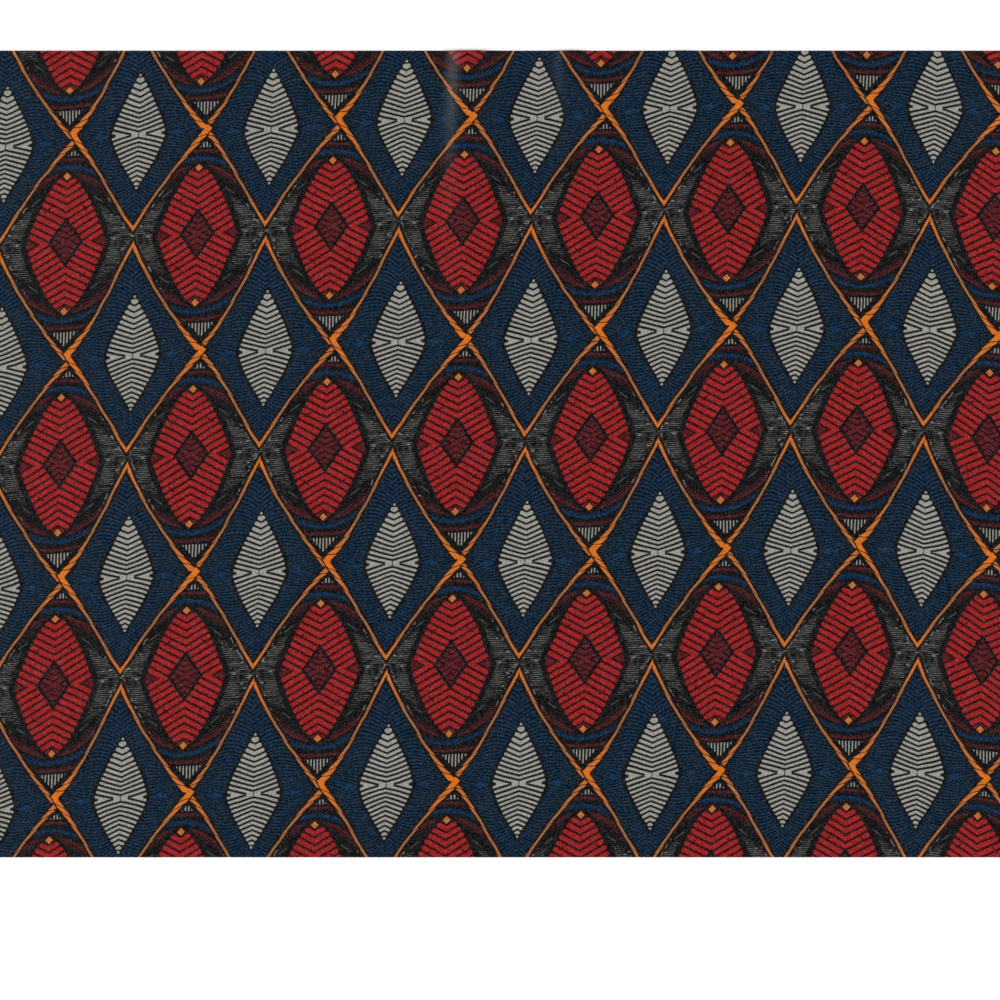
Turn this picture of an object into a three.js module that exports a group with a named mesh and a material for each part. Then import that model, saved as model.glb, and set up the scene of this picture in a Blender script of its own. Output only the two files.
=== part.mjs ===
// A rectangular cut of coated, printed cotton, laid flat with its printed face up.
// Units are millimetres. X runs along the long edges, Y across the cut, Z up from the table.
// The origin is the middle of the underside.

import * as THREE from 'three';

// The cut
const CUT_LENGTH = 400;
const CUT_WIDTH = 285;
const WALL = 1;

// The grid of the wall: wide steps on the flat cloth, narrow ones where a buckle lies
const COARSE_STEP = 20;
const FINE_STEP = 2.5;
const ROW_STEP = 9.5;

// Soft buckles that start at the far long edge and die out towards the middle.
// at: the crest's X at that edge
// height: the crest's rise at that edge
// halfWidth: from the crest to the flat cloth
// reach: how far the buckle runs before the cloth is flat
// drift: how far the crest moves in X along its reach
const BUCKLES = [
  { at: -11, height: 1.6, halfWidth: 11, reach: 125, drift: -4 },
  { at: 25, height: 1.2, halfWidth: 9, reach: 75, drift: 2 },
  { at: 64, height: 0.6, halfWidth: 8, reach: 45, drift: 1 },
];

const printedCloth = new THREE.MeshStandardMaterial({
  name: 'coated_cotton',
  color: new THREE.Color(0.22, 0.17, 0.19),
  roughness: 0.45,
  metalness: 0,
});

// How far down a buckle a point at y lies: 0 at the far edge, 1 where the buckle ends
function alongBuckle(buckle, y) {
  return (CUT_WIDTH / 2 - y) / buckle.reach;
}

// Rise of the cloth off the table at x, y: a rounded hump across each buckle, fading along it
function rise(x, y) {
  let total = 0;
  for (const buckle of BUCKLES) {
    const along = alongBuckle(buckle, y);
    if (along >= 1) continue;
    const crest = buckle.at + buckle.drift * along;
    const across = Math.abs(x - crest) / buckle.halfWidth;
    if (across >= 1) continue;
    const hump = Math.cos((across * Math.PI) / 2) ** 2;
    const fade = Math.cos((along * Math.PI) / 2) ** 2;
    total += buckle.height * hump * fade;
  }
  return total;
}

// Whether the strip from x0 to x1 touches a buckle anywhere along its drift
function meetsBuckle(x0, x1) {
  return BUCKLES.some((buckle) => {
    const ends = [buckle.at, buckle.at + buckle.drift];
    const low = Math.min(...ends) - buckle.halfWidth;
    const high = Math.max(...ends) + buckle.halfWidth;
    return x1 > low && x0 < high;
  });
}

// X of each column of points: every coarse strip is cut into fine ones where it meets a buckle
function columnPlaces() {
  const places = [-CUT_LENGTH / 2];
  const strips = Math.round(CUT_LENGTH / COARSE_STEP);
  for (let strip = 0; strip < strips; strip += 1) {
    const start = -CUT_LENGTH / 2 + strip * COARSE_STEP;
    const end = start + COARSE_STEP;
    const step = meetsBuckle(start, end) ? FINE_STEP : COARSE_STEP;
    for (let x = start + step; x <= end + FINE_STEP / 2; x += step) places.push(x);
  }
  return places;
}

// Y of each row of points, evenly spaced
function rowPlaces() {
  const rows = Math.round(CUT_WIDTH / ROW_STEP);
  return Array.from({ length: rows + 1 }, (_, row) => -CUT_WIDTH / 2 + (row * CUT_WIDTH) / rows);
}

// The closed wall: an underside and an upper side over the same grid, joined round the edge
function clothWall() {
  const xs = columnPlaces();
  const ys = rowPlaces();
  const positions = [];
  for (const lift of [0, WALL]) {
    for (const y of ys) {
      for (const x of xs) positions.push(x, y, rise(x, y) + lift);
    }
  }
  const perSide = xs.length * ys.length;
  const under = (column, row) => row * xs.length + column;
  const over = (column, row) => under(column, row) + perSide;

  const triangles = [];
  const face = (a, b, c, d) => triangles.push(a, b, c, a, c, d);
  const lastColumn = xs.length - 1;
  const lastRow = ys.length - 1;
  for (let row = 0; row < lastRow; row += 1) {
    for (let column = 0; column < lastColumn; column += 1) {
      face(over(column, row), over(column + 1, row), over(column + 1, row + 1), over(column, row + 1));
      face(under(column, row), under(column, row + 1), under(column + 1, row + 1), under(column + 1, row));
    }
  }
  for (let column = 0; column < lastColumn; column += 1) {
    face(under(column, 0), under(column + 1, 0), over(column + 1, 0), over(column, 0));
    face(under(column + 1, lastRow), under(column, lastRow), over(column, lastRow), over(column + 1, lastRow));
  }
  for (let row = 0; row < lastRow; row += 1) {
    face(under(0, row + 1), under(0, row), over(0, row), over(0, row + 1));
    face(under(lastColumn, row), under(lastColumn, row + 1), over(lastColumn, row + 1), over(lastColumn, row));
  }

  const geometry = new THREE.BufferGeometry();
  geometry.setAttribute('position', new THREE.Float32BufferAttribute(positions, 3));
  geometry.setIndex(triangles);
  geometry.computeVertexNormals();
  return geometry;
}

const cloth = new THREE.Mesh(clothWall(), printedCloth);
cloth.name = 'cloth';

const fabricCut = new THREE.Group();
fabricCut.add(cloth);

export default fabricCut;
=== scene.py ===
"""A rectangular cut of coated, printed cotton that lies flat with its printed face up.

Lengths are in metres on the cloth and in millimetres inside the print, as each name says.
X runs along the long edges, Y across the cut, and Z up from the table.
"""

import math

import bpy
import numpy as np
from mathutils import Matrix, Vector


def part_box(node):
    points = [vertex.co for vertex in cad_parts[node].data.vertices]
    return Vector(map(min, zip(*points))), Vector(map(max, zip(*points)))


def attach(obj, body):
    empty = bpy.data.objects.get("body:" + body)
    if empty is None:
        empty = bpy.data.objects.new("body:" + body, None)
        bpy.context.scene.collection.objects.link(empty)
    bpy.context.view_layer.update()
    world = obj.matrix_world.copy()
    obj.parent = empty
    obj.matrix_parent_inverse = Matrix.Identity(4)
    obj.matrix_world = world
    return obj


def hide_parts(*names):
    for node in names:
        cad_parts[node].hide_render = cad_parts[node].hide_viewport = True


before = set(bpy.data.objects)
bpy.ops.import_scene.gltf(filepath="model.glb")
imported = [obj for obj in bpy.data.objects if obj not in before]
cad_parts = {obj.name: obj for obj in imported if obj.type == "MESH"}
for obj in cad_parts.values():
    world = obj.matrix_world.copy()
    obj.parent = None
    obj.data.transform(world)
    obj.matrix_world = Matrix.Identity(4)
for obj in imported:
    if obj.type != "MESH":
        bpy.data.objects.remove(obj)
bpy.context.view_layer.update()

MM = 0.001
scene = bpy.context.scene

# The cut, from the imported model
cloth_low, cloth_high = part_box("cloth")
CUT_LENGTH = cloth_high[0] - cloth_low[0]
CUT_WIDTH = cloth_high[1] - cloth_low[1]
THICKNESS = 0.5 * MM
FAR_EDGE = cloth_high[1]

# Camera: straight down on the middle of the photo's width, a long way off
PHOTO_SCALE = 2.83  # pixels for a millimetre of cloth
PHOTO_PIXELS = 1000
PHOTO_SIDE = PHOTO_PIXELS / PHOTO_SCALE * MM
CLOTH_ABOVE_MIDDLE = 46 / PHOTO_SCALE * MM  # the cloth's middle lies 46 pixels over the photo's
LENS = 120.0
SENSOR = 36.0


def add_camera():
    """Looks straight down. Its height makes the photo's side fill the frame at the cloth."""
    data = bpy.data.cameras.new("camera")
    data.lens = LENS
    data.sensor_width = SENSOR
    camera = bpy.data.objects.new("camera", data)
    scene.collection.objects.link(camera)
    height = PHOTO_SIDE * LENS / SENSOR
    camera.location = (0, -CLOTH_ABOVE_MIDDLE, THICKNESS + height)
    scene.camera = camera


add_camera()


# Node groups: arithmetic on fields

def feed(tree, value, socket):
    """Links a field or a socket to a socket, or sets the socket's own number."""
    if isinstance(value, Field):
        value = value.socket
    if isinstance(value, bpy.types.NodeSocket):
        tree.links.new(value, socket)
    else:
        socket.default_value = value


def math_node(tree, operation, *values, clamp=False):
    """The output of a new Math node. values are fields, sockets or numbers."""
    node = tree.nodes.new("ShaderNodeMath")
    node.operation = operation
    node.use_clamp = clamp
    for socket, value in zip(node.inputs, values):
        feed(tree, value, socket)
    return node.outputs[0]


class Field:
    """A number that changes over the cloth: first * second + more.

    first is a socket, second a socket or a number, and more a number. Arithmetic adds a Math
    node only where this form can't hold the result, so that most sums take one node.
    """

    def __init__(self, tree, first, second=1.0, more=0.0):
        self.tree = tree
        self.first = first
        self.second = second
        self.more = more

    def crossed(self):
        """Whether it is a product of two sockets."""
        return isinstance(self.second, bpy.types.NodeSocket)

    def plain(self):
        """Whether it is its first socket, but for what is added."""
        return not self.crossed() and self.second == 1.0

    @property
    def socket(self):
        """The socket that gives the whole number."""
        if not self.plain() and self.more:
            parts = "MULTIPLY_ADD", self.first, self.second, self.more
        elif not self.plain():
            parts = "MULTIPLY", self.first, self.second
        elif self.more:
            parts = "ADD", self.first, self.more
        else:
            return self.first
        self.first, self.second, self.more = math_node(self.tree, *parts), 1.0, 0.0
        return self.first

    def maths(self, operation, *others):
        return Field(self.tree, math_node(self.tree, operation, self, *others))

    def __add__(self, other):
        if not isinstance(other, Field):
            return Field(self.tree, self.first, self.second, self.more + other)
        more = self.more + other.more
        if self.first == other.first and not self.crossed() and not other.crossed():
            return Field(self.tree, self.first, self.second + other.second, more)
        product, rest = (self, other) if other.plain() else (other, self)
        rest = Field(self.tree, rest.first, rest.second).socket
        if product.plain():
            total = math_node(self.tree, "ADD", product.first, rest)
        else:
            total = math_node(self.tree, "MULTIPLY_ADD", product.first, product.second, rest)
        return Field(self.tree, total, 1.0, more)

    def __sub__(self, other):
        return self + other * -1.0

    def __rsub__(self, other):
        return self * -1.0 + other

    def __mul__(self, other):
        if isinstance(other, Field):
            return Field(self.tree, self.socket, other.socket)
        if self.crossed():
            return Field(self.tree, self.socket, other)
        return Field(self.tree, self.first, self.second * other, self.more * other)

    def __rmul__(self, other):
        return self * other

    def __truediv__(self, other):
        if isinstance(other, Field):
            return self.maths("DIVIDE", other)
        return self * (1.0 / other)

    def __rtruediv__(self, other):
        return Field(self.tree, math_node(self.tree, "DIVIDE", other, self))

    def __abs__(self):
        return self.maths("ABSOLUTE")

    def __pow__(self, other):
        return self.maths("POWER", other)

    def floor(self):
        return self.maths("FLOOR")

    def part(self):
        """What is left above the whole number."""
        return self.maths("FRACT")

    def off_middle(self):
        """How far it is from half-way between two whole numbers: 0 to 0.5."""
        return (self + 0.5).maths("PINGPONG", 0.5)

    def sine(self):
        return self.maths("SINE")

    def least(self, other):
        return self.maths("MINIMUM", other)

    def most(self, other):
        return self.maths("MAXIMUM", other)

    def ramp(self, low, high):
        """0 at low and before it, 1 at high and past it, straight between."""
        line = (self - low) / (high - low)
        parts = line.first, line.second, line.more
        return Field(self.tree, math_node(self.tree, "MULTIPLY_ADD", *parts, clamp=True))


def length_of(x, y):
    return (x * x + y * y).maths("SQRT")


SOFT = 0.10  # half the width of a printed line's soft edge, in mm


def under(field, limit, soft=SOFT):
    """1 where field is under limit, 0 where it is over, with a soft edge."""
    return (field - limit).ramp(soft, -soft)


def between(field, low, high, soft=SOFT):
    return under(field, high, soft) * (field - low).ramp(-soft, soft)


def srgb(red, green, blue):
    """Linear colour of 0 to 255 display values."""
    def linear(value):
        value /= 255
        return value / 12.92 if value <= 0.04045 else ((value + 0.055) / 1.055) ** 2.4
    return (linear(red), linear(green), linear(blue), 1.0)


def new_group(name, inputs, outputs):
    """An empty node group with named sockets. Returns it, its fields in and its output node."""
    tree = bpy.data.node_groups.new(name, "ShaderNodeTree")
    for label, kind in inputs:
        tree.interface.new_socket(label, in_out="INPUT", socket_type=kind)
    for label, kind in outputs:
        tree.interface.new_socket(label, in_out="OUTPUT", socket_type=kind)
    start = tree.nodes.new("NodeGroupInput")
    end = tree.nodes.new("NodeGroupOutput")
    return tree, start, end


def mix_colour(tree, share, first, second):
    """first where share is 0, second where it is 1. Colours are fields or tuples."""
    node = tree.nodes.new("ShaderNodeMix")
    node.data_type = "RGBA"
    feed(tree, share, node.inputs["Factor"])
    feed(tree, first, node.inputs[6])
    feed(tree, second, node.inputs[7])
    return Field(tree, node.outputs[2])


def noise(tree, place, scale, detail=2.0):
    """Soft random field from 0 to 1. place is a vector socket."""
    node = tree.nodes.new("ShaderNodeTexNoise")
    node.inputs["Scale"].default_value = scale
    node.inputs["Detail"].default_value = detail
    tree.links.new(place, node.inputs["Vector"])
    return Field(tree, node.outputs["Fac"])


def vector(tree, x, y, z=0.0):
    node = tree.nodes.new("ShaderNodeCombineXYZ")
    for socket, value in zip(node.inputs, (x, y, z)):
        feed(tree, value, socket)
    return node.outputs[0]


# The print's repeat, in mm on the flat cut

PITCH_ACROSS = 46.94  # from one diamond cell to the next along X
PITCH_ALONG = 78.26  # and along Y
FIRST_ACROSS = 8.60  # one diamond cell's middle
FIRST_ALONG = 43.38
LEAN = 0.0272  # the columns lean right by this for each mm up
CLIMB = 0.0549  # the rows climb to the right by this for each mm
FAN = 0.0000193  # and climb more by this for each mm up
BOW = 0.00093  # they bow down past BOW_START
BOW_START = 71.7
WAVE = 0.91  # and wave up and down by this
WAVE_LENGTH = 315.0
WAVE_START = 0.288
WOBBLE = 0.16  # the hand-drawn lines stray by up to about this

INK = {
    "ground": srgb(12, 12, 14),
    "red": srgb(163, 30, 33),
    "red worn": srgb(148, 31, 34),
    "red line": srgb(54, 6, 8),
    "eye line": srgb(36, 6, 9),
    "dark red": srgb(92, 20, 28),
    "maroon": srgb(92, 23, 30),
    "maroon arc": srgb(74, 24, 29),
    "maroon teeth": srgb(92, 25, 32),
    "blue": srgb(12, 53, 76),
    "blue deep": srgb(2, 53, 92),
    "blue gap": srgb(5, 8, 13),
    "blue arc": srgb(4, 42, 76),
    "blue teeth": srgb(5, 44, 74),
    "pale": srgb(160, 158, 150),
    "dash": srgb(100, 100, 98),
    "speck": srgb(134, 133, 129),
    "orange": srgb(224, 117, 26),
    "orange dull": srgb(164, 107, 66),
    "bead": srgb(196, 113, 54),
    "brown": srgb(24, 8, 3),
}


class Cell:
    """Where a point lies in one repeat: u across and v along, from the cell's middle, in mm."""

    def __init__(self, u, v, odd):
        self.u = u
        self.v = v
        self.odd = odd  # 1 in odd columns
        self.side = abs(u)
        self.height = abs(v)
        self.up = v.ramp(-0.01, 0.01)
        self.right = u.ramp(-0.01, 0.01)

    def moved(self, u, v):
        """The same point, from a middle that lies u, v off this one."""
        return Cell(self.u - u, self.v - v, self.odd)

    def quarter(self, upper_left, upper_right, lower_left, lower_right):
        """One of four numbers, by the quarter of the cell."""
        upper = self.right * (upper_right - upper_left) + upper_left
        lower = self.right * (lower_right - lower_left) + lower_left
        return self.up * (upper - lower) + lower


CELL_TURN = 0.54  # share of the pitch where a cell's inside gives way to the next one's
ROW_TURN = 0.489  # the same along Y
OVAL_SHIFT = 0.07  # the ovals' middles lie left of the half pitch by this
OVAL_SHIFT_ODD = 0.46  # and by this more left of even cells


def repeat(tree, across, along):
    """The diamond cells left and right of a point of the flat cut, and its oval cell.

    The cut's coordinates are straightened first: the climb, fan, bow and wave come off Y and the
    lean off X. Diamond cells then lie on a plain grid, and ovals lie half a step off it.
    Two diamond cells' side tips overlap a little, so a point there lies in both.
    """
    past = (across - BOW_START).most(0.0)
    wave = (across * (2 * math.pi / WAVE_LENGTH) + WAVE_START).sine() * WAVE
    straight = along - across * CLIMB - across * along * FAN + past * past * BOW + wave
    column = (across - straight * LEAN - FIRST_ACROSS) / PITCH_ACROSS
    row = (straight - FIRST_ALONG) / PITCH_ALONG
    left = column.floor()
    left_odd = abs(left.maths("MODULO", 2.0))
    share = column - left
    v = (row - (row + ROW_TURN).floor()) * PITCH_ALONG
    left_cell = Cell(share * PITCH_ACROSS, v, left_odd)
    right_cell = Cell((share - 1.0) * PITCH_ACROSS, v, 1.0 - left_odd)
    oval = Cell(
        (share - 0.5) * PITCH_ACROSS + left_odd * OVAL_SHIFT_ODD + OVAL_SHIFT,
        (row.part() - 0.5) * PITCH_ALONG,
        left_odd,
    )
    return left_cell, right_cell, share.maths("GREATER_THAN", CELL_TURN), oval


def lines(field, pitch, offset=0.0):
    """Distance from the nearest line of a set: the lines lie where field is offset + n pitches."""
    return (field - offset).maths("PINGPONG", pitch / 2)


# Trellis: the strands round the diamond cells

LEVEL = -1.5  # the side tips lie at this v
LEFT_REACH = 22.5  # from the cell's middle to its left tip
RIGHT_REACH = 26.3
UPPER_REACH = 38.7  # from the side tips' level to the upper tip
UPPER_SHIFT = 0.55  # the upper tip lies right of the cell's middle by this
UPPER_ODD = 1.0  # odd cells reach higher by this
LOWER_REACH = 35.2
LOWER_ODD = 1.1  # and less far down by this
LEFT_LIFT = -0.2  # the left tip lies higher by this
LEFT_LIFT_ODD = 1.6  # and in odd cells by this more
RIGHT_LIFT = -0.9
RIGHT_LIFT_ODD = 0.9
LIFT_POWER = 6.0  # how late on the way out to a side tip its lift sets in
BOW_SIZE = (17.5, 9.1, 13.5, 7.6)  # upper left, upper right, lower left and lower right edge
BOW_EARLY = (1.3, 0.5, 2.0, 1.0)  # power of the share
BOW_LATE = (1.0, 0.5, 1.0, 1.0)  # power of one less the share
BOW_END = 0.03  # the bow's slope is held this near to a tip
CAP_START = 0.3  # a level cap blunts the edge from here past its upper or lower tip
CAP_SLOPE = 0.8
SPINDLE_START = 2.4  # the spindles' nicks: first * growth ** n less the start
SPINDLE_FIRST = 3.28
SPINDLE_GROWTH = 1.55
SPINDLE_SLIM = 0.20  # a spindle is slimmer by this share at its ends
STRAND_HALF = 0.41  # half a strand's width half-way
STRAND_TIP = 0.10  # and more by this at the upper and lower tips
OUTLINE_WIDTH = 0.74  # the dark border beside it
NICK_HALF = 0.18
NICK_SLANT = 0.12  # a nick rises outwards by this share


def trellis_edge(cell):
    """The cell from its side tips' level, the distance from the strand's middle line, below 0
    inside the cell, the share of the way from the upper or lower tip to the side tip, and how far
    past the side tip the point lies.

    Each of the four edges is a straight line that hangs in by a bow: its size times powers of the
    share and of one less the share. The height over the edge, turned by the edge's own slope,
    is the distance.
    """
    climbed = ((cell.v - LEVEL) / UPPER_REACH).most(0.0)
    cell = cell.moved(climbed * climbed * UPPER_SHIFT, 0.0)
    reach = cell.right * (RIGHT_REACH - LEFT_REACH) + LEFT_REACH
    left_lift = cell.odd * LEFT_LIFT_ODD + LEFT_LIFT
    right_lift = cell.odd * RIGHT_LIFT_ODD + RIGHT_LIFT
    lift = (cell.right * (right_lift - left_lift) + left_lift) * (cell.side / reach) ** LIFT_POWER
    cell = cell.moved(0.0, lift + LEVEL)
    upper = cell.odd * UPPER_ODD + UPPER_REACH
    lower = LOWER_REACH - cell.odd * LOWER_ODD
    height = cell.up * (upper - lower) + lower
    share = cell.side / reach
    inner = share.most(BOW_END).least(1.0 - BOW_END)
    size = cell.quarter(*BOW_SIZE)
    early = cell.quarter(*BOW_EARLY)
    late = cell.quarter(*BOW_LATE)
    bow = size * inner ** early * (1.0 - inner) ** late
    slope = (height + bow * (early / inner - late / (1.0 - inner))) / reach
    over = cell.height - (1.0 - share) * height + bow
    distance = over * (slope * slope + 1.0).maths("INVERSE_SQRT")
    cap = (cell.height - height - CAP_START) * CAP_SLOPE
    return cell, distance.most(cap), share, cell.side - reach


def choose(turn, first, second):
    """first where turn is 0, second where it is 1."""
    return first + (second - first) * turn


def chosen_edge(turn, first, second):
    """The trellis edge of one of two cells that lie at the same height."""
    u = choose(turn, first[0].u, second[0].u)
    v = choose(turn, first[0].v, second[0].v)
    cell = Cell(u, v, choose(turn, first[0].odd, second[0].odd))
    return cell, *(choose(turn, a, b) for a, b in zip(first[1:], second[1:]))


def strand(tree, edge, half_at_tip, gloss, outline, colour):
    """Orange strand of overlapping spindles with a level dark nick between one and the next.

    Nick n lies at the height first * growth ** n less a start. The strand is widest and brightest
    at the side tips, and thin and dull half-way. Each spindle runs from the strand's outer side,
    at its end near the side tip, to the inner side. A small rhombus round the side tip blunts
    the strand's end.
    """
    cell, distance, share, past = edge
    blunt = (abs(past + 0.6) + cell.height) * 0.72
    level = cell.height * (distance * NICK_SLANT + 1.0) + SPINDLE_START
    turns = (level / SPINDLE_FIRST).most(0.01).maths("LOGARITHM", SPINDLE_GROWTH).most(0.5)
    part = turns.part()
    nick = (0.5 - abs(part - 0.5)) * level * math.log(SPINDLE_GROWTH)
    end = abs(part - 0.5) * 2.0
    crossing = share.ramp(0.58, 0.93)
    tip = share.ramp(0.28, 0.0)
    half = crossing * (half_at_tip - STRAND_HALF) + tip * STRAND_TIP + STRAND_HALF
    half = half * (1.0 - end ** 3.0 * SPINDLE_SLIM)
    slant = (part - 0.5) * (crossing * 0.35 + 0.25) * turns.ramp(0.5, 0.7)
    off = abs(distance + slant).least(blunt)
    border = under(off, half + OUTLINE_WIDTH, 0.20) * outline
    colour = mix_colour(tree, border, colour, INK["brown"])
    bright = (share.ramp(0.50, 0.95) * gloss + tip * 0.7).least(1.0) * (1.0 - end ** 4.0 * 0.30)
    orange = mix_colour(tree, bright, INK["orange dull"], INK["orange"])
    orange = mix_colour(tree, under(nick, NICK_HALF, 0.12), orange, INK["brown"])
    return mix_colour(tree, under(off, half, 0.14), colour, orange)


THREAD_WIDTH = 0.40
THREAD_OFF = 0.75  # its least distance from the strand's middle
THREAD_STRAY = 1.2  # and how much more it may be


def pale_thread(tree, distance, share, seed, colour):
    """A thin broken line beside the strands, outside the cell, near its upper and lower tips."""
    broken = noise(tree, seed, 0.45).ramp(0.53, 0.60).most(share.ramp(0.17, 0.10) * 0.15)
    start = noise(tree, seed, 0.60, 1.0) * THREAD_STRAY + THREAD_OFF
    thread = between(distance, start, start + THREAD_WIDTH, 0.12)
    thread = thread * share.ramp(0.46, 0.36) * broken
    return mix_colour(tree, thread * 0.8, colour, INK["speck"])


# Diamond cell: blue hatch and the pale diamond

FOLD_LEVEL = -2.8  # the hatch and the chevrons fold at this v
FOLD_ODD = 0.55  # higher by this in odd columns, lower in even ones
DIAMOND_AXIS = 1.25  # the pale diamond's axis lies right of the cell's middle
DIAMOND_LEAN = 0.012  # and leans right by this for each mm up
DIAMOND_WIDTH = 9.6  # half its width
DIAMOND_UPPER = 21.2  # its height over the fold
DIAMOND_LOWER = 19.0  # and under it
DIAMOND_BULGE = 1.35
CHEVRON_PITCH = 1.60  # at the fold
CHEVRON_LINE = 0.41  # half the width of the line between two chevrons
CHEVRON_FIRST = 1.06  # the first line's height on the axis
CHEVRON_FIRST_UPPER = 0.16  # and higher by this over the fold
CHEVRON_START = 5.0  # the pitch grows past this height
CHEVRON_GROWTH = 0.0039  # by this less of a line for each square mm
CHEVRON_GROWTH_UPPER = 0.0044  # and by this more over the fold
CHEVRON_SLOPE = 0.25  # at the fold
CHEVRON_STEEPER = 0.014  # and steeper by this for each mm from it
HATCH_LINES = 0.91  # lines for each mm
HATCH_LINES_UPPER = -0.08  # and this many more over the fold
HATCH_FIRST = 0.74  # the first gap's height
HATCH_SHARE = 11.0  # the fan ends at this side, and the lines spread past this height
HATCH_SPREAD = 0.0065  # by this less of a line for each square mm
HATCH_SOFTNESS = 0.22  # the lines' contrast falls by this share
HATCH_MEAN = 0.38  # towards this
ARROW_SIDE = 13.8  # a brighter spot on the fold, either side of the diamond


def blue_hatch(tree, cell, distance, seed):
    """Fine lines: level arcs beside the diamond, and steep, wider spaced chevrons at the tips.

    A line's height is the height over the fold less a drop: a parabola of the side out to the
    fan's end, and a straight line past it. At the fold the lines close to a point that faces
    the diamond instead.
    """
    near = cell.side.least(HATCH_SHARE)
    drop = near * 0.9 - near * near * 0.05 - (cell.side - near) * 0.25 - 4.0
    climb = (cell.side - HATCH_SHARE) * 0.3
    tips = cell.height.ramp(2.0, 10.0)
    height = cell.height - climb - (drop - climb) * tips
    wide = (height - HATCH_SHARE).most(0.0)
    rate = cell.up * HATCH_LINES_UPPER + HATCH_LINES
    count = (height - HATCH_FIRST) * rate - wide * wide * HATCH_SPREAD
    line = count.off_middle() * 2.0
    patch = noise(tree, seed, 0.10).ramp(0.35, 0.65)
    inner = distance.ramp(-0.8, -5.0)
    deep = (patch * 0.35 + inner * 0.30 + cell.height.ramp(14.0, 26.0) * 0.35).least(1.0)
    blue = mix_colour(tree, deep, INK["blue"], INK["blue deep"])
    fill = line.ramp(0.62, 0.22) * (inner * 0.20 + 0.80)
    fill = fill + (HATCH_MEAN - fill) * HATCH_SOFTNESS
    colour = mix_colour(tree, fill, INK["blue gap"], blue)
    arrow = under(abs(cell.side - ARROW_SIDE) * 0.45 + cell.height, 0.85, 0.35)
    return mix_colour(tree, arrow * 0.9, colour, INK["blue deep"])


def pale_diamond(tree, fold_cell, colour):
    """Pale chevrons in a bulging diamond, with round ends on a dark border.

    A chevron's number is its height on the axis over the pitch, less the growth times the square
    of the height past the start. The rate is how fast that number grows for each mm.
    """
    side = abs(fold_cell.u - fold_cell.v * DIAMOND_LEAN - DIAMOND_AXIS)
    fold = fold_cell.height
    height = fold_cell.up * (DIAMOND_UPPER - DIAMOND_LOWER) + DIAMOND_LOWER
    reach = (1.0 - (fold / height).least(1.0) ** DIAMOND_BULGE) * DIAMOND_WIDTH
    slope = fold * CHEVRON_STEEPER + CHEVRON_SLOPE
    along = fold - slope * side
    late = (along - CHEVRON_START).most(0.0)
    growth = fold_cell.up * CHEVRON_GROWTH_UPPER + CHEVRON_GROWTH
    first = fold_cell.up * CHEVRON_FIRST_UPPER + CHEVRON_FIRST
    phase = (along - first) / CHEVRON_PITCH - late * late * growth
    rate = 1.0 / CHEVRON_PITCH - late * growth * 2.0
    off = phase.off_middle() / rate
    past = (side - reach + 0.55).most(0.0)
    stripe = under(length_of(past, off) + CHEVRON_LINE, 0.5 / rate, 0.14)
    stripe = stripe * under(fold - height, -0.4, 0.3)
    middle = under(side, 2.5) * under(along, 0.66)
    arrows = under(side, 8.0) * under(along, -0.92)
    stripe = stripe.most(middle).most(arrows)
    split = under(side, 0.16, 0.10) * under(fold, 0.9, 0.2)
    dots = under(length_of(side, fold - height + 0.2), 0.42, 0.16)
    border = under(side - reach, 1.05, 0.45) * under(fold - height, 1.2, 0.5)
    colour = mix_colour(tree, border * 0.95, colour, INK["ground"])
    return mix_colour(tree, (stripe * (1.0 - split)).most(dots), colour, INK["pale"])


# Oval cell: the red oval, arcs, combs and dashes

OVAL_WIDTH = 14.1  # half its width
OVAL_HEIGHT = 24.5  # half its height
OVAL_BULGE = 1.72
OVAL_FOLD = 0.6  # its stripes fold at this v
RED_PITCH = 2.72
RED_SLOPE = 0.56
RED_LINE = 0.50  # half the width of the line between two stripes
EYE_WIDTH = 6.3
EYE_HEIGHT = 9.1
BEAD_HEIGHT = 23.85  # the orange beads lie on the oval's tips
NOTCH_SIDE = 6.4  # a dark notch in one stripe of each quarter
NOTCH_FOLD = 12.0
DASH_PITCH = 0.745
SPECKS = ((20.2, -3.3), (20.0, 4.4), (17.2, 0.6))  # bright dashes beside the oval: side, height
STROKE_RISE = 23.2  # the stroke over each corner: its height on the axis
STROKE_SLOPE = 0.72  # and its fall for each mm of the side
TOOTH_PITCH = 0.90  # the arcs' teeth, at their outer edge
MAROON_ARC = (25.2, 0.032)  # height of its outer edge on the axis, and its bend
BLUE_ARC = (27.9, 0.028)
LAST_ARC = (30.4, 0.012)
ARC_GAP = (0.2, 0.5)  # the dark gap inside the blue and the last arc starts past the next one
COMB_START = 31.4
COMB_PITCH = 1.15
COMB_HALF = 0.20  # half a tooth's width


def oval_distance(cell):
    """About the distance from the oval's outline, below 0 inside.

    The outline is where the bulged share of the width and the share of the height add to one.
    Their sum less one, over the length of its own gradient, is about the distance.
    """
    wide = (cell.side / OVAL_WIDTH).most(0.001)
    lift = wide ** (OVAL_BULGE - 1.0)
    over = lift * wide + cell.height / OVAL_HEIGHT - 1.0
    steep = lift * (OVAL_BULGE / OVAL_WIDTH)
    return over * (steep * steep + 1.0 / OVAL_HEIGHT ** 2).maths("INVERSE_SQRT")


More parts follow.
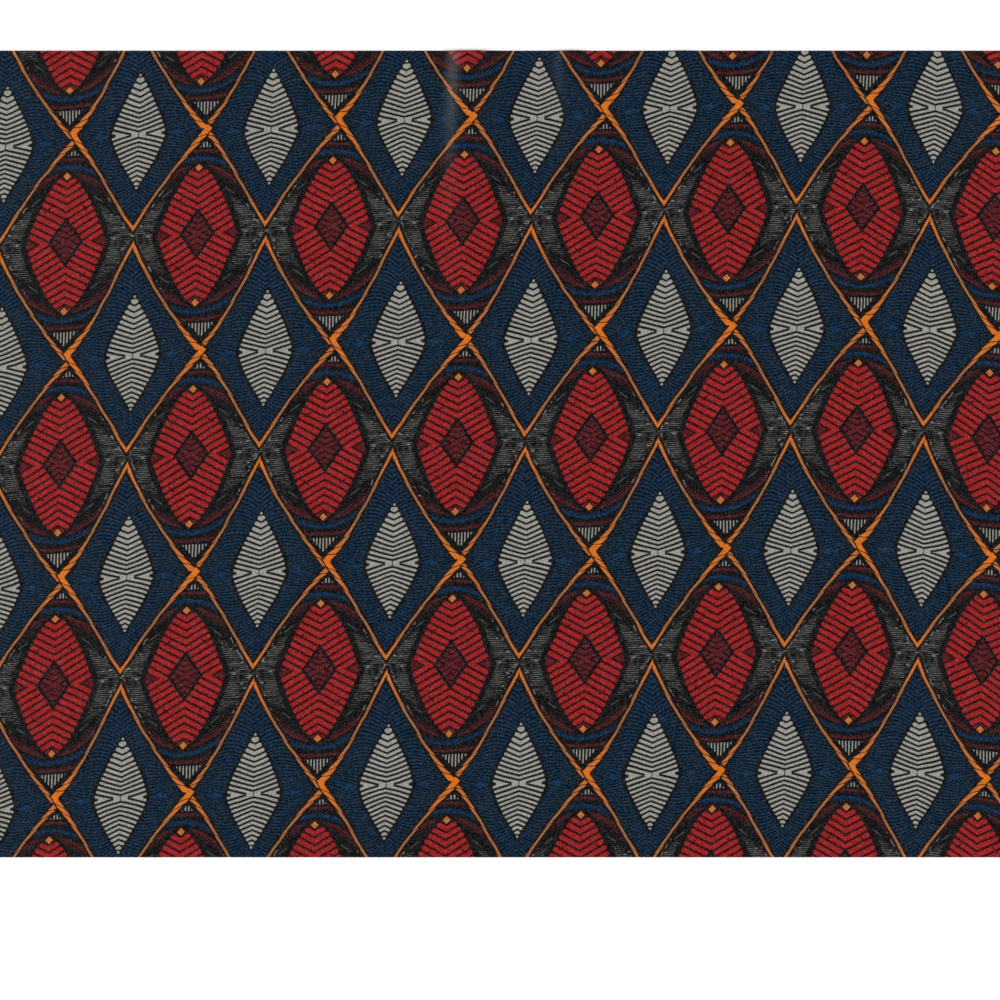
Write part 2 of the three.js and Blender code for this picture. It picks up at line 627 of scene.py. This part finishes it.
def side_dashes(tree, cell, distance, trellis, colour):
    """Fine broken level lines with some specks beside the oval, and a stroke over each corner."""
    row = cell.v / DASH_PITCH
    line = row.off_middle()
    broken = noise(tree, vector(tree, cell.side * 0.22, row.floor() * 7.31), 1.0)
    specks = noise(tree, vector(tree, cell.side * 0.55, row.floor() * 3.7, 5.0), 1.0, 0.0)
    dash = under(line, 0.19, 0.13) * broken.ramp(0.41, 0.57)
    room = (distance - 1.7).ramp(0.0, 0.5) * (trellis - 1.5).ramp(0.0, 0.4)
    level = (cell.height + cell.side * 0.5 + (broken - 0.5) * 5.0).ramp(19.6, 18.0)
    colour = mix_colour(tree, dash * room * level, colour, INK["dash"])
    speck = under(line, 0.24, 0.14) * specks.ramp(0.71, 0.77)
    for side, height in SPECKS:
        off = length_of((cell.side - side) * 0.5, cell.v - height)
        speck = speck.most(under(off, 0.25, 0.15))
    colour = mix_colour(tree, speck * room * level, colour, INK["speck"])
    stroke = under(abs(cell.height + cell.side * STROKE_SLOPE - STROKE_RISE), 0.22, 0.15)
    stroke = stroke * between(cell.side, 9.6, 12.6, 0.4)
    return mix_colour(tree, stroke * 0.55, colour, INK["dash"])


def arc(tree, cell, height, place, ink, colour):
    """One arc: solid at its outer edge, with teeth on the inside that fade out.

    Its height is the height over the oval's middle plus the bend times the side squared. ink
    holds the depth of the solid part and of the teeth, and the ink of each.
    """
    edge, bend = place
    solid, teeth, line_ink, teeth_ink = ink
    level = height + cell.side * cell.side * bend
    spread = 1.0 - (edge - level) * (2.0 * bend)
    hatch = (cell.u / spread / TOOTH_PITCH).off_middle() * 2.0
    fade = level.ramp(edge - solid - teeth, edge - solid)
    inside = under(level, edge, 0.14)
    tooth = (fade * 0.62 - 0.10 - hatch).ramp(-0.13, 0.13)
    colour = mix_colour(tree, tooth * inside, colour, teeth_ink)
    return mix_colour(tree, inside * (level - edge + solid).ramp(-0.15, 0.15), colour, line_ink)


def arcs(tree, cell, colour):
    """Maroon, blue and maroon arcs over and under the oval, and a pale comb past them."""
    height = cell.height + cell.up * 0.1
    maroon = (0.8, 2.8, INK["maroon arc"], INK["maroon teeth"])
    blue = (1.0, 1.6, INK["blue arc"], INK["blue teeth"])
    last = (0.75, 0.9, INK["maroon arc"], INK["maroon arc"])
    plain = colour
    square = cell.side * cell.side
    colour = arc(tree, cell, height, LAST_ARC, last, colour)
    gap = under(height + square * BLUE_ARC[1], BLUE_ARC[0] + ARC_GAP[1])
    colour = mix_colour(tree, gap, colour, plain)
    colour = arc(tree, cell, height, BLUE_ARC, blue, colour)
    gap = under(height + square * MAROON_ARC[1], MAROON_ARC[0] + ARC_GAP[0])
    colour = mix_colour(tree, gap, colour, plain)
    colour = arc(tree, cell, height, MAROON_ARC, maroon, colour)
    bar = lines(cell.u, COMB_PITCH, 0.3)
    axis = 2.1 - (1.0 - cell.odd) * (1.0 - cell.up) * 1.75
    reach = 36.3 - cell.up * 2.8 - abs(cell.u - axis) * 1.08
    end = (COMB_START - height).most(height + 0.3 - reach).most(0.0)
    comb = under(length_of(bar, end), COMB_HALF, 0.12)
    return mix_colour(tree, comb, colour, INK["pale"])


def red_oval(tree, cell, distance, seed, colour):
    """Red chevron stripes in the pointed oval, with dark wedges at its sides and a maroon eye."""
    folded = cell.moved(0.0, OVAL_FOLD)
    fold = folded.height
    along = fold - cell.side * RED_SLOPE
    line = lines(along, RED_PITCH, folded.up * -0.45 + 0.25)
    worn = noise(tree, seed, 0.22)
    red = mix_colour(tree, worn.ramp(0.42, 0.66) * 0.7, INK["red"], INK["red worn"])
    red = mix_colour(tree, under(along, -RED_PITCH * 2.0, 0.15), red, INK["dark red"])
    past = (distance + 0.75).most(0.0)
    stripe = under(length_of(past, RED_PITCH / 2 - line), RED_PITCH / 2 - RED_LINE, 0.16)
    notch_side = cell.side - NOTCH_SIDE
    notch_fold = fold - NOTCH_FOLD
    notch_length = (notch_side * 0.8 - notch_fold * 0.6) * 0.2
    notch = under(length_of(notch_length, notch_side * 0.6 + notch_fold * 0.8), 0.30, 0.12)
    colour = mix_colour(tree, under(distance, 1.4, 0.35), colour, INK["ground"])
    red = mix_colour(tree, (stripe - notch).most(0.0), INK["red line"], red)
    colour = mix_colour(tree, under(distance, 0.15, 0.16), colour, red)
    eye = cell.side / EYE_WIDTH + fold / EYE_HEIGHT
    fine = under(lines(fold - cell.side * 0.5, 2.15, 1.2), 0.36)
    maroon = mix_colour(tree, fine, INK["maroon"], INK["eye line"])
    colour = mix_colour(tree, under(eye, 1.0, 0.03), colour, INK["ground"])
    colour = mix_colour(tree, under(eye, 0.78, 0.05), colour, maroon)
    bead = cell.side + abs(cell.height - BEAD_HEIGHT)
    colour = mix_colour(tree, under(bead, 2.2, 0.2), colour, INK["brown"])
    return mix_colour(tree, under(bead, 1.35, 0.2), colour, INK["bead"])


def print_group():
    """The print's colour at a place of the flat cut, in mm.

    The inside of the diamond cells is laid over the outside, and the strands over both. Where
    two cells meet, the odd cell's strands lie on top.
    """
    tree, start, end = new_group(
        "trellis print",
        [("Flat cut", "NodeSocketVector")],
        [("Colour", "NodeSocketColor")],
    )
    seed = start.outputs[0]
    stray = tree.nodes.new("ShaderNodeTexNoise")
    stray.inputs["Scale"].default_value = 0.12
    stray.inputs["Detail"].default_value = 1.0
    tree.links.new(seed, stray.inputs["Vector"])
    stray_parts = tree.nodes.new("ShaderNodeSeparateColor")
    tree.links.new(stray.outputs["Color"], stray_parts.inputs[0])
    place = tree.nodes.new("ShaderNodeSeparateXYZ")
    tree.links.new(seed, place.inputs[0])

    def strayed(axis):
        """A coordinate of the flat cut, off by the stray of a hand-drawn line."""
        wobble = (Field(tree, stray_parts.outputs[axis]) - 0.5) * (4 * WOBBLE)
        return Field(tree, place.outputs[axis]) + wobble

    left, right, turn, oval = repeat(tree, strayed(0), strayed(1))
    left_edge = trellis_edge(left)
    right_edge = trellis_edge(right)
    trellis = left_edge[1].least(right_edge[1])
    share = choose(turn, left_edge[2], right_edge[2])
    diamond = Cell(choose(turn, left.u, right.u), left.v, choose(turn, left.odd, right.odd))
    folded = diamond.moved(0.0, diamond.odd * (2 * FOLD_ODD) + (FOLD_LEVEL - FOLD_ODD))
    distance = oval_distance(oval)

    hatch_axis = DIAMOND_AXIS - folded.height.ramp(16.0, 32.0) * 0.8
    inside = blue_hatch(tree, folded.moved(hatch_axis, 0.0), trellis, seed)
    inside = mix_colour(tree, share.ramp(0.70, 0.92) * 0.5, inside, INK["ground"])
    inside = pale_diamond(tree, folded, inside)
    outside = side_dashes(tree, oval, distance, trellis, INK["ground"])
    outside = pale_thread(tree, trellis, share, seed, outside)
    outside = arcs(tree, oval, outside)
    outside = red_oval(tree, oval, distance, seed, outside)
    colour = mix_colour(tree, under(trellis, 0.0), outside, inside)
    left_over = left.odd
    over = chosen_edge(left_over, right_edge, left_edge)
    joined = (1.0 - left_over) * over[0].up * over[2].ramp(0.86, 0.92)
    beneath = chosen_edge(left_over, left_edge, right_edge)
    colour = strand(tree, beneath, 0.76, 0.6, 1.0, colour)
    colour = strand(tree, over, 1.02, 1.0, 1.0 - joined, colour)
    feed(tree, colour, end.inputs["Colour"])
    return tree


# Weave

YARN_PITCH = 0.38  # mm from one yarn to the next


def weave_group():
    """Plain weave: over-and-under hills of warp and weft, and how far each yarn is filled in. The
    coated face paints shade from the hills and a glint from the tone.
    """
    tree, start, end = new_group(
        "plain weave",
        [("Flat cut", "NodeSocketVector"), ("Pitch", "NodeSocketFloat")],
        [("Height", "NodeSocketFloat"), ("Yarn tone", "NodeSocketFloat")],
    )
    place = tree.nodes.new("ShaderNodeSeparateXYZ")
    tree.links.new(start.outputs["Flat cut"], place.inputs[0])
    pitch = Field(tree, start.outputs["Pitch"])
    across = Field(tree, place.outputs[0]) / pitch
    along = Field(tree, place.outputs[1]) / pitch
    turn = (across * math.pi).sine() * (along * math.pi).sine()
    gap_across = across.off_middle()
    gap_along = along.off_middle()
    crown = 1.0 - (gap_across * gap_across + gap_along * gap_along) * 1.6
    height = crown * 0.7 + abs(turn) * 0.3
    grain = tree.nodes.new("ShaderNodeTexWhiteNoise")
    grain.noise_dimensions = "2D"
    tree.links.new(vector(tree, across.floor(), along.floor()), grain.inputs["Vector"])
    tone = Field(tree, grain.outputs["Value"])
    feed(tree, height, end.inputs["Height"])
    feed(tree, tone, end.inputs["Yarn tone"])
    return tree


trellis_print = print_group()
plain_weave = weave_group()


def use_group(tree, group, **values):
    node = tree.nodes.new("ShaderNodeGroup")
    node.node_tree = group
    for label, value in values.items():
        socket = node.inputs[label.replace("_", " ").capitalize()]
        if isinstance(value, bpy.types.NodeSocket):
            tree.links.new(value, socket)
        else:
            socket.default_value = value
    return node


def new_material(name):
    """A material with its Principled shader, and the flat cut's place in mm."""
    material = bpy.data.materials.new(name)
    material.use_nodes = True
    tree = material.node_tree
    shader = next(node for node in tree.nodes if node.type == "BSDF_PRINCIPLED")
    flat = tree.nodes.new("ShaderNodeUVMap")
    flat.uv_map = "flat_cut"
    to_mm = tree.nodes.new("ShaderNodeMapping")
    to_mm.inputs["Location"].default_value = (-CUT_LENGTH / 2 / MM, -CUT_WIDTH / 2 / MM, 0)
    to_mm.inputs["Scale"].default_value = (CUT_LENGTH / MM, CUT_WIDTH / MM, 1)
    tree.links.new(flat.outputs[0], to_mm.inputs[0])
    return material, tree, shader, to_mm.outputs[0]


def add_bump(tree, shader, height, distance, strength):
    bump = tree.nodes.new("ShaderNodeBump")
    bump.inputs["Distance"].default_value = distance
    bump.inputs["Strength"].default_value = strength
    tree.links.new(height, bump.inputs["Height"])
    tree.links.new(bump.outputs[0], shader.inputs["Normal"])


def coated_face():
    """Printed cotton under a thin clear coat that lets the weave stand through. Painted shade
    darkens the print between the yarn crowns, and a painted glint lightens random yarns.
    """
    material, tree, shader, flat = new_material("coated print")
    pattern = use_group(tree, trellis_print, flat_cut=flat)
    weave = use_group(tree, plain_weave, flat_cut=flat, pitch=YARN_PITCH)
    tone = Field(tree, weave.outputs["Yarn tone"])
    crown = Field(tree, weave.outputs["Height"])
    # shade: a random tone for each yarn times the print, and painted shade that darkens the print
    # where the yarns dip between their crowns
    shade = tone * 0.34 + crown * 0.20 + 0.54
    # Painted glint of the coat: random yarns lightened in the base colour
    painted_glint = tone ** 3.0 * 0.023
    colour = tree.nodes.new("ShaderNodeVectorMath")
    colour.operation = "MULTIPLY_ADD"
    tree.links.new(pattern.outputs["Colour"], colour.inputs[0])
    tree.links.new(vector(tree, shade, shade, shade), colour.inputs[1])
    tree.links.new(vector(tree, painted_glint, painted_glint, painted_glint), colour.inputs[2])
    tree.links.new(colour.outputs[0], shader.inputs["Base Color"])
    feed(tree, 0.44 - crown * 0.08, shader.inputs["Roughness"])
    shader.inputs["Specular IOR Level"].default_value = 0.06
    shader.inputs["Coat Weight"].default_value = 0.25
    shader.inputs["Coat Roughness"].default_value = 0.22
    add_bump(tree, shader, weave.outputs["Height"], 0.00004, 0.6)
    return material


def cotton_back():
    """Undyed cotton with a faint ghost of the print showing through."""
    material, tree, shader, flat = new_material("cotton back")
    pattern = use_group(tree, trellis_print, flat_cut=flat)
    weave = use_group(tree, plain_weave, flat_cut=flat, pitch=YARN_PITCH)
    tone = Field(tree, weave.outputs["Yarn tone"])
    cotton = mix_colour(tree, tone, srgb(120, 116, 108), srgb(150, 146, 136))
    ghost = mix_colour(tree, 0.55, cotton, Field(tree, pattern.outputs["Colour"]))
    feed(tree, ghost, shader.inputs["Base Color"])
    feed(tree, 0.92 - tone * 0.08, shader.inputs["Roughness"])
    shader.inputs["Sheen Weight"].default_value = 0.15
    add_bump(tree, shader, weave.outputs["Height"], 0.00008, 0.8)
    return material


def cut_edge():
    """The wall of the cut: dark dyed yarn ends in the coat."""
    material, tree, shader, flat = new_material("cut edge")
    speckle = noise(tree, flat, 3.0, 1.0)
    colour = mix_colour(tree, speckle.ramp(0.35, 0.65), srgb(30, 30, 33), srgb(70, 62, 58))
    feed(tree, colour, shader.inputs["Base Color"])
    feed(tree, 0.9 - speckle * 0.1, shader.inputs["Roughness"])
    add_bump(tree, shader, speckle.socket, 0.0001, 0.5)
    return material


# The cloth's own form

# Soft buckles that run in from the far edge: crest's X there, rise there, half width, reach
# and the crest's move in X along its reach, in mm
BUCKLES = (
    {"at": -11.0, "height": 1.6, "half_width": 11.0, "reach": 125.0, "drift": -4.0},
    {"at": 25.0, "height": 1.2, "half_width": 9.0, "reach": 75.0, "drift": 2.0},
    {"at": 64.0, "height": 0.6, "half_width": 8.0, "reach": 45.0, "drift": 1.0},
)
GRID_STEP = 2.6 * MM
BUCKLE_STEP = 0.9 * MM  # across the buckles
LIE = 0.05 * MM  # how far the laid face is from a true plane


def rise(x, y):
    """Rise of the cloth off the table: a rounded hump across each buckle, fading along it."""
    total = np.zeros(np.broadcast(x, y).shape)
    for buckle in BUCKLES:
        along = np.clip((FAR_EDGE - y) / (buckle["reach"] * MM), 0, 1)
        crest = (buckle["at"] + buckle["drift"] * along) * MM
        across = np.clip(np.abs(x - crest) / (buckle["half_width"] * MM), 0, 1)
        hump = np.cos(across * np.pi / 2) ** 2 * np.cos(along * np.pi / 2) ** 2
        total = total + buckle["height"] * MM * hump
    return total


def lie_of_face(x, y):
    """Slow, shallow waves of the laid face: three sines that run different ways."""
    return LIE * (
        np.sin(x / 0.021 + y / 0.047)
        + 0.7 * np.sin(y / 0.017 - x / 0.060 + 1.3)
        + 0.5 * np.sin((x + y) / 0.011 + 0.4)
    )


def evenly(start, end, step):
    return np.linspace(start, end, round((end - start) / step) + 1)


def cloth_mesh():
    """A closed thin shell: the printed face over the back on one grid, joined round the edge.

    Both UV maps hold each point's share of the cut's length and width. The bake's own map gives
    the printed face nine tenths of its height, and the back and the edge the rest.
    """
    left = min(buckle["at"] - buckle["half_width"] for buckle in BUCKLES) * MM - GRID_STEP
    right = max(buckle["at"] + buckle["half_width"] for buckle in BUCKLES) * MM + GRID_STEP
    places = np.concatenate([
        evenly(-CUT_LENGTH / 2, left, GRID_STEP)[:-1],
        evenly(left, right, BUCKLE_STEP)[:-1],
        evenly(right, CUT_LENGTH / 2, GRID_STEP),
    ])
    columns = len(places)
    rows = round(CUT_WIDTH / GRID_STEP) + 1
    share_x, share_y = np.meshgrid(places / CUT_LENGTH + 0.5, np.linspace(0, 1, rows))
    x = (share_x - 0.5) * CUT_LENGTH
    y = (share_y - 0.5) * CUT_WIDTH
    lift = rise(x, y)
    back = np.stack([x, y, lift], -1).reshape(-1, 3)
    face = np.stack([x, y, lift + THICKNESS + lie_of_face(x, y)], -1).reshape(-1, 3)
    points = np.concatenate([back, face])

    number = np.arange(columns * rows).reshape(rows, columns)
    corner = np.stack([number[:-1, :-1], number[:-1, 1:], number[1:, 1:], number[1:, :-1]], -1)
    corner = corner.reshape(-1, 4)
    rim = np.concatenate([number[0, :-1], number[:-1, -1], number[-1, :0:-1], number[:0:-1, 0]])
    onward = np.roll(rim, -1)
    over = columns * rows
    wall = np.stack([rim, onward, onward + over, rim + over], -1)
    faces = np.concatenate([corner + over, corner[:, ::-1], wall])

    mesh = bpy.data.meshes.new("coated_cloth")
    mesh.from_pydata(points.tolist(), [], faces.tolist())
    slots = np.repeat([0, 1, 2], [len(corner), len(corner), len(wall)])
    mesh.polygons.foreach_set("material_index", slots)
    mesh.polygons.foreach_set("use_smooth", np.ones(len(faces), bool))

    shares = np.stack([share_x.ravel(), share_y.ravel()], -1)
    loops = faces.ravel() % over
    flat = shares[loops]
    mesh.uv_layers.new(name="flat_cut").data.foreach_set("uv", flat.ravel())
    baked = flat.copy()
    kind = np.repeat(slots, 4)
    baked[kind == 0, 1] = 0.1 + 0.9 * flat[kind == 0, 1]
    baked[kind == 1, 1] = 0.01 + 0.08 * flat[kind == 1, 1]
    baked[kind == 2, 1] = 0.004 * (faces.ravel()[kind == 2] >= over)
    mesh.uv_layers.new(name="OFBake").data.foreach_set("uv", baked.ravel())
    mesh.uv_layers.active = mesh.uv_layers["flat_cut"]
    mesh.uv_layers["flat_cut"].active_render = True
    mesh.update()
    mesh.set_sharp_from_angle(angle=math.radians(50))
    return mesh


def add_piece(name, mesh, *materials):
    piece = bpy.data.objects.new(name, mesh)
    scene.collection.objects.link(piece)
    for material in materials:
        mesh.materials.append(material)
    return piece


cloth = add_piece("coated_cloth", cloth_mesh(), coated_face(), cotton_back(), cut_edge())
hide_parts("cloth")
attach(cloth, "root")


# Floor, lights and surroundings

FLOOR_HALF = 20.0
FLOOR_DROP = 0.2 * MM  # clear of the cloth's underside
WORLD_GLOW = 0.12  # what the white surroundings add to the softboxes

def add_floor():
    """A wide plain floor just under the cloth."""
    mesh = bpy.data.meshes.new("floor")
    side = FLOOR_HALF
    corners = [(-side, -side, 0), (side, -side, 0), (side, side, 0), (-side, side, 0)]
    mesh.from_pydata(corners, [], [(0, 1, 2, 3)])
    floor = add_piece("floor", mesh, floor_paint())
    floor.location.z = -FLOOR_DROP


def floor_paint():
    """Matt white."""
    material = bpy.data.materials.new("pale floor")
    material.use_nodes = True
    shader = next(n for n in material.node_tree.nodes if n.type == "BSDF_PRINCIPLED")
    shader.inputs["Base Color"].default_value = (0.99, 0.99, 0.99, 1)
    shader.inputs["Roughness"].default_value = 0.9
    shader.inputs["Specular IOR Level"].default_value = 0.0
    return material


def add_softbox(name, place, size, power):
    """A square area light at place that faces the cloth's middle."""
    data = bpy.data.lights.new(name, "AREA")
    data.shape = "SQUARE"
    data.size = size
    data.energy = power
    light = bpy.data.objects.new(name, data)
    scene.collection.objects.link(light)
    light.location = place
    reach = np.array(place)
    light.rotation_euler = (
        math.atan2(math.hypot(reach[0], reach[1]), reach[2]),
        0,
        math.atan2(reach[0], -reach[1]),
    )
    light.visible_camera = False


def set_world():
    """White to the camera, dim for the light on the cloth, and dark in its coat."""
    world = bpy.data.worlds.new("studio")
    world.use_nodes = True
    tree = world.node_tree
    background = tree.nodes["Background"]
    background.inputs["Color"].default_value = (1, 1, 1, 1)
    ray = tree.nodes.new("ShaderNodeLightPath")
    seen = Field(tree, ray.outputs["Is Camera Ray"])
    mirrored = Field(tree, ray.outputs["Is Glossy Ray"])
    feed(tree, seen + WORLD_GLOW * (1.0 - mirrored), background.inputs["Strength"])
    scene.world = world


add_floor()
set_world()
add_softbox("left softbox", (-2.0, -0.2, 1.5), 1.2, 47)
add_softbox("right softbox", (2.0, -0.2, 1.5), 1.2, 47)
add_softbox("far softbox", (-2.4, 0.82, 4.0), 1.0, 26)
scene.view_settings.view_transform = "Standard"
